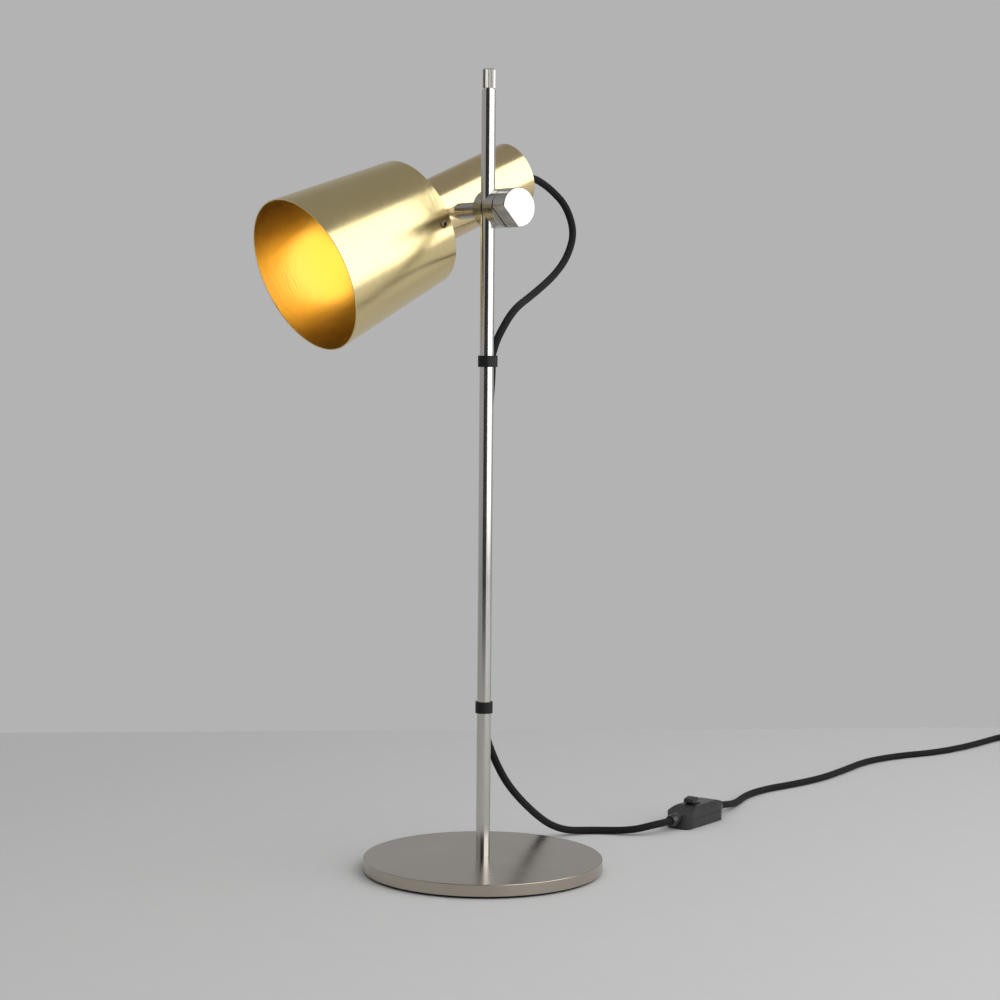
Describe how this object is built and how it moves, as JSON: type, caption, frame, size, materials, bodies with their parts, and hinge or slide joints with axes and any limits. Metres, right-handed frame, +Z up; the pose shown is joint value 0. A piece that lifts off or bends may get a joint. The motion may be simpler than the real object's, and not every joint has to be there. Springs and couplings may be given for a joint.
{
  "type": "desk lamp",
  "caption": "Slim desk lamp: round metal base, tall pole, clamp with a turning knob, tilting open can shade in brass, black braided cord with an inline switch.",
  "frame": {"origin": "on the floor under the pole's axis, at the middle of the foot pad's underside", "axes": "+Z up along the pole, +X the way the clamp knob faces, -Y the way the shade looks"},
  "size_m": [0.2806, 1.129, 0.6797],
  "materials": {
    "base_steel": "brushed nickel, satin",
    "foot_rubber": "matte rubber",
    "fastener_steel": "zinc plated",
    "pole_steel": "satin stainless, brushed round the bar",
    "clip_black": "matte black",
    "clamp_steel": "fine turned stainless",
    "neck_brass": "brushed brass, lacquered",
    "shade_brass": "brushed pale brass, lacquered",
    "mount_steel": "zinc plated",
    "screw_brass": "darkened brass",
    "gland_rubber": "matte black",
    "cord_black": "braided textile over PVC",
    "holder_black": "moulded black",
    "contact_brass": "plain",
    "bulb_metal": "plain",
    "bulb_glass": "frosted",
    "bulb_filament": "glowing",
    "switch_black": "satin moulded black",
    "plug_metal": "plated"
  },
  "bodies": {
    "stand": {"base_plate": "base_steel", "base_foot_pad": "foot_rubber", "pole_base_screw": "fastener_steel", "pole_base_washer": "fastener_steel", "pole": "pole_steel", "pole_cap": "pole_steel", "upper_cord_clip": "clip_black", "lower_cord_clip": "clip_black", "head_cord_lower": "cord_black", "pole_cord": "cord_black", "floor_cord_near": "cord_black", "floor_cord_far": "cord_black", "cord_coil": "cord_black", "plug_cord": "cord_black", "plug_relief": "gland_rubber", "plug_body": "switch_black", "plug_pins": "plug_metal", "switch_lower_case": "switch_black", "switch_upper_case": "switch_black", "switch_rocker_pin": "fastener_steel", "switch_terminal_block": "switch_black", "switch_leads": "cord_black", "switch_case_screws": "fastener_steel"},
    "swivel": {"head_cord_middle": "cord_black"},
    "clamp": {"rear_jaw": "clamp_steel", "front_jaw": "clamp_steel", "friction_washer": "fastener_steel", "knob_washer": "fastener_steel"},
    "knob": {"clamp_knob": "clamp_steel", "clamp_bolt": "fastener_steel"},
    "head": {"pivot_pin": "clamp_steel", "pin_washer": "fastener_steel", "pin_nut": "fastener_steel", "neck_tube": "neck_brass", "neck_end_cap": "neck_brass", "cord_gland": "gland_rubber", "inner_lead": "cord_black", "shade": "shade_brass", "shade_mount": "mount_steel", "shade_screws": "screw_brass", "lampholder_body": "holder_black", "lampholder_ring": "holder_black", "lampholder_insert": "contact_brass", "lampholder_contact": "contact_brass", "bulb_cap": "bulb_metal", "bulb_glass": "bulb_glass", "bulb_filament": "bulb_filament", "head_cord_upper": "cord_black"},
    "rocker": {"switch_rocker": "switch_black"}
  },
  "joints": [
    {"name": "head_swivel", "type": "hinge", "parent": "stand", "child": "swivel", "pos_m": [0, 0, 0.564], "axis": [0, 0, 1], "range_deg": [-90, 90], "deforming": ["head_cord_lower"]},
    {"name": "head_height", "type": "slide", "parent": "swivel", "child": "clamp", "axis": [0, 0, 1], "range_m": [-0.08, 0.04], "deforming": ["head_cord_middle"]},
    {"name": "head_tilt", "type": "hinge", "parent": "clamp", "child": "head", "pos_m": [-0.013, 0.0095, 0.564], "axis": [1, 0, 0], "range_deg": [-35, 40], "deforming": ["head_cord_upper"]},
    {"name": "knob_turn", "type": "hinge", "parent": "clamp", "child": "knob", "pos_m": [0.015, 0.0095, 0.564], "axis": [1, 0, 0], "range_deg": [0, 270]},
    {"name": "switch_rocker_tip", "type": "hinge", "parent": "stand", "child": "rocker", "pos_m": [-0.03659, 0.27546, 0.0095], "axis": [-0.9606, -0.278, 0], "range_deg": [0, 24]}
  ]
}
